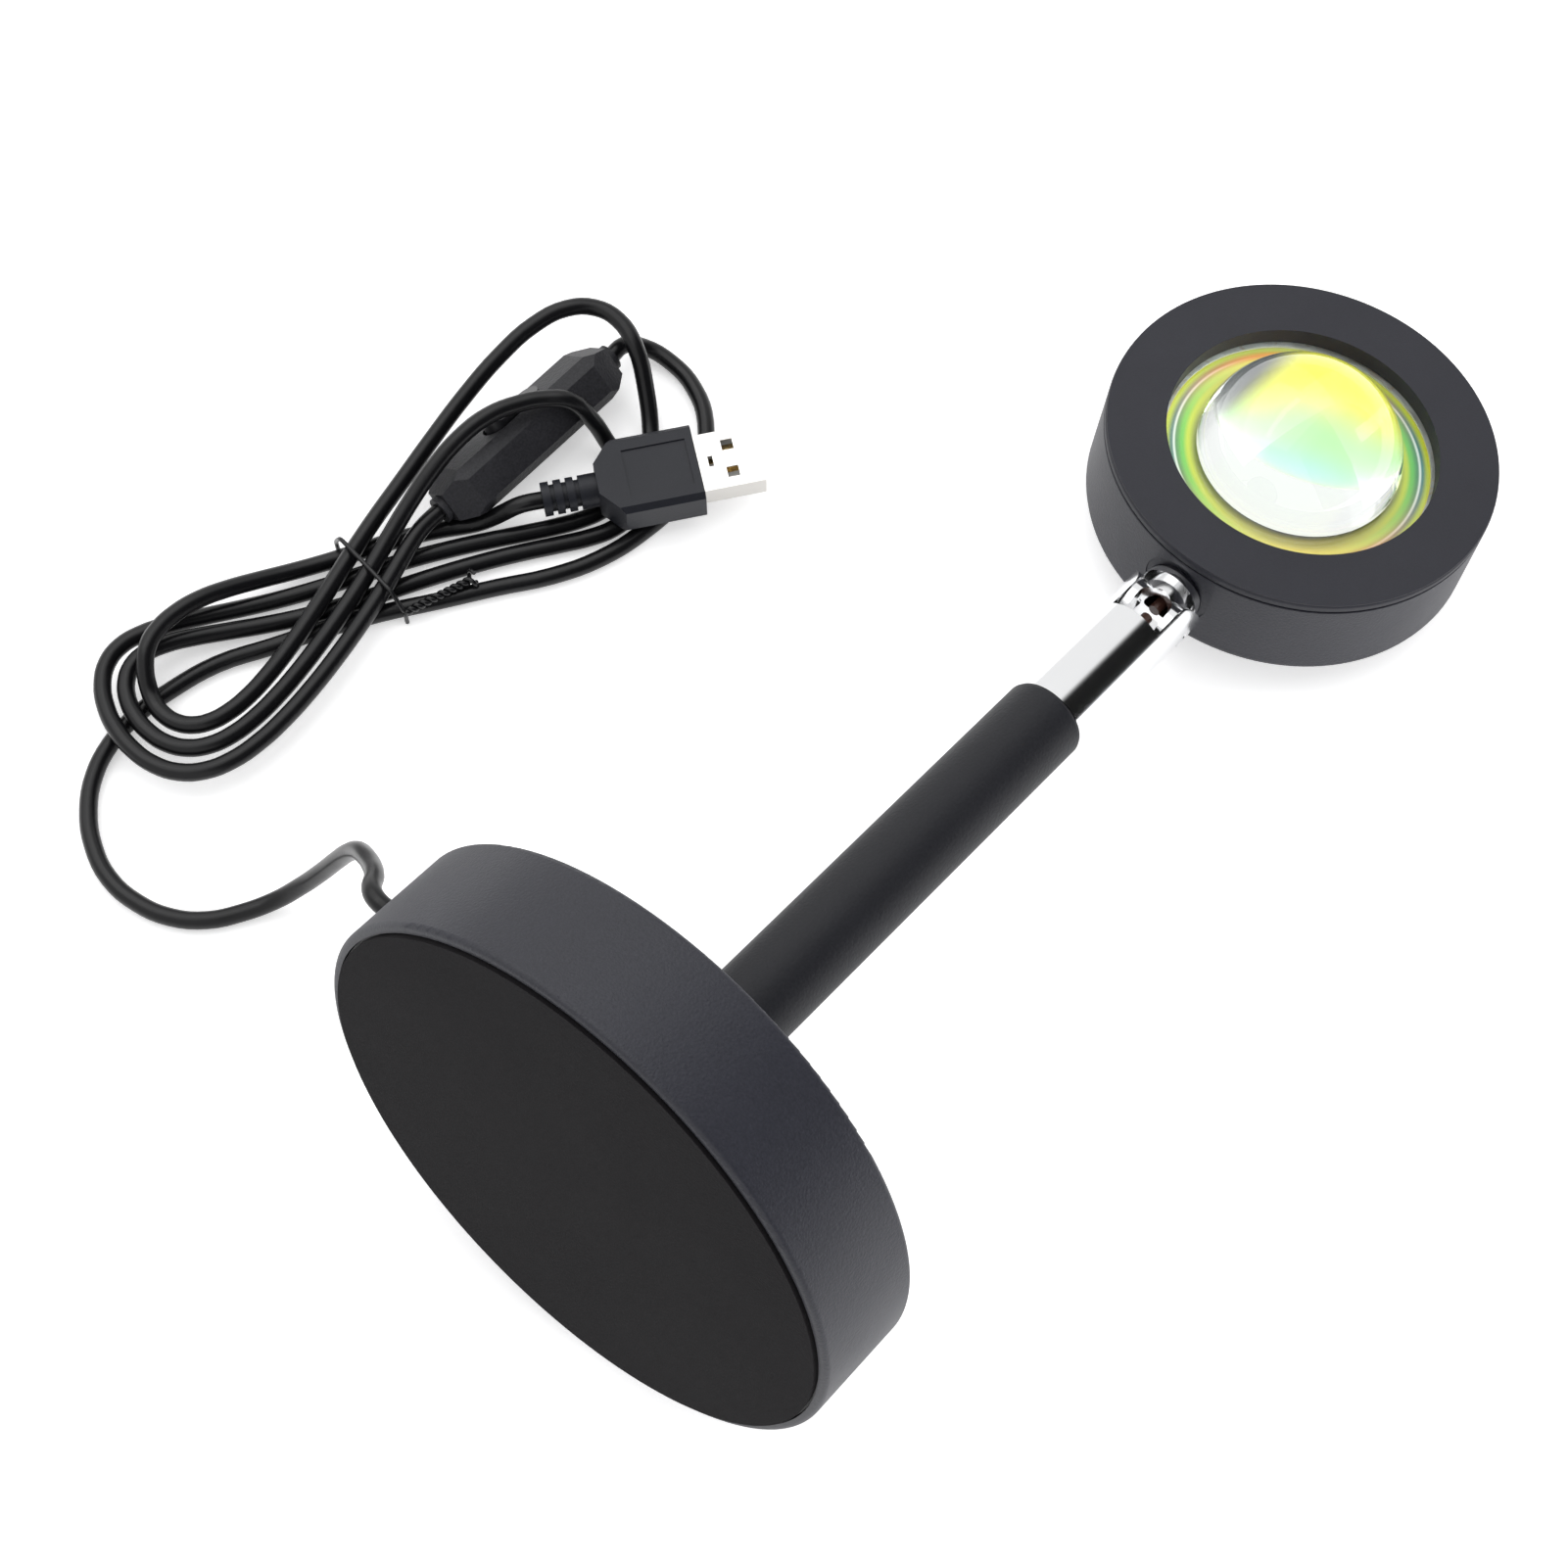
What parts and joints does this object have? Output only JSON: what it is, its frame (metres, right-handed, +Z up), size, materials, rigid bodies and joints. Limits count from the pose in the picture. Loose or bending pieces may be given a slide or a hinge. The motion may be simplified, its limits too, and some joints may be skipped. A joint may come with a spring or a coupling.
{
  "type": "sunset projection lamp",
  "caption": "Round-based black table lamp with a chrome fork joint, a tilting disc head with a convex lens over a dichroic filter, and a USB cord with an in-line rocker switch.",
  "frame": {"origin": "on the surface that the lamp lies on, below the middle of the lamp's bounding box without its cord", "axes": "+X from the base to the head, +Y across the lamp towards the cord's side, +Z up; the lamp lies on the rim of its base and the edge of its head"},
  "size_m": [0.2386, 0.1926, 0.1017],
  "materials": {
    "powder_coat": "fine textured black powder coat, satin",
    "lid_coat": "smooth satin black paint",
    "foam": "matt closed-cell foam",
    "plate_steel": "bare grey primer",
    "ballast_iron": "rough cast",
    "soft_rubber": "matt",
    "plated_steel": "zinc plated",
    "brass_insert": "machined",
    "chrome_plate": "bright polished",
    "inner_lead": "smooth",
    "lens_glass": "polished convex lens",
    "silicone": "translucent",
    "dichroic_glass": "dichroic film on glass",
    "reflector_metal": "polished",
    "sink_aluminium": "satin",
    "board_white": "white solder mask",
    "phosphor": "silicone over phosphor",
    "cord_jacket": "semi-gloss jacket",
    "tie_plastic": "gloss",
    "switch_plastic": "fine spark-eroded texture",
    "rocker_plastic": "smooth",
    "plug_plastic": "satin moulded",
    "shell_metal": "bright plated",
    "tongue_plastic": "white"
  },
  "bodies": {
    "base": {"base_shell": "powder_coat", "base_pad": "foam", "base_plate": "plate_steel", "base_ballast": "ballast_iron", "cord_grommet": "soft_rubber", "stem_washer": "plated_steel", "stem_nut": "plated_steel", "stem_rod": "plated_steel", "stem_foot": "brass_insert", "stem_sleeve": "powder_coat", "fork_tube": "chrome_plate", "hinge_pins": "chrome_plate", "stem_lead": "inner_lead", "inner_cord": "cord_jacket", "splice_sleeve": "soft_rubber", "cord_lead": "cord_jacket", "cord_hank": "cord_jacket", "hank_tie": "tie_plastic", "switch_lower": "switch_plastic", "switch_upper": "switch_plastic", "switch_contacts": "brass_insert", "plug_grip": "plug_plastic", "plug_shell": "shell_metal", "plug_tongue": "tongue_plastic", "plug_contacts": "brass_insert"},
    "head": {"neck": "chrome_plate", "neck_nut": "plated_steel", "head_housing": "powder_coat", "front_lid": "lid_coat", "lens": "lens_glass", "lens_gasket": "silicone", "colour_filter": "dichroic_glass", "reflector": "reflector_metal", "lid_screws": "plated_steel", "heat_sink": "sink_aluminium", "led_board": "board_white", "led_chip": "phosphor", "board_screws": "plated_steel", "head_lead": "inner_lead"},
    "rocker": {"switch_rocker": "rocker_plastic"}
  },
  "joints": [
    {"name": "head_tilt", "type": "hinge", "parent": "base", "child": "head", "pos_m": [0.03901, 0, 0.02171], "axis": [0, 1, 0], "range_deg": [-86.5, 92.5]},
    {"name": "switch_rocker_tilt", "type": "hinge", "parent": "base", "child": "rocker", "pos_m": [0.00067, 0.11732, 0.00853], "axis": [0.0247, 0.7067, -0.7071], "range_deg": [-12, 0]}
  ]
}
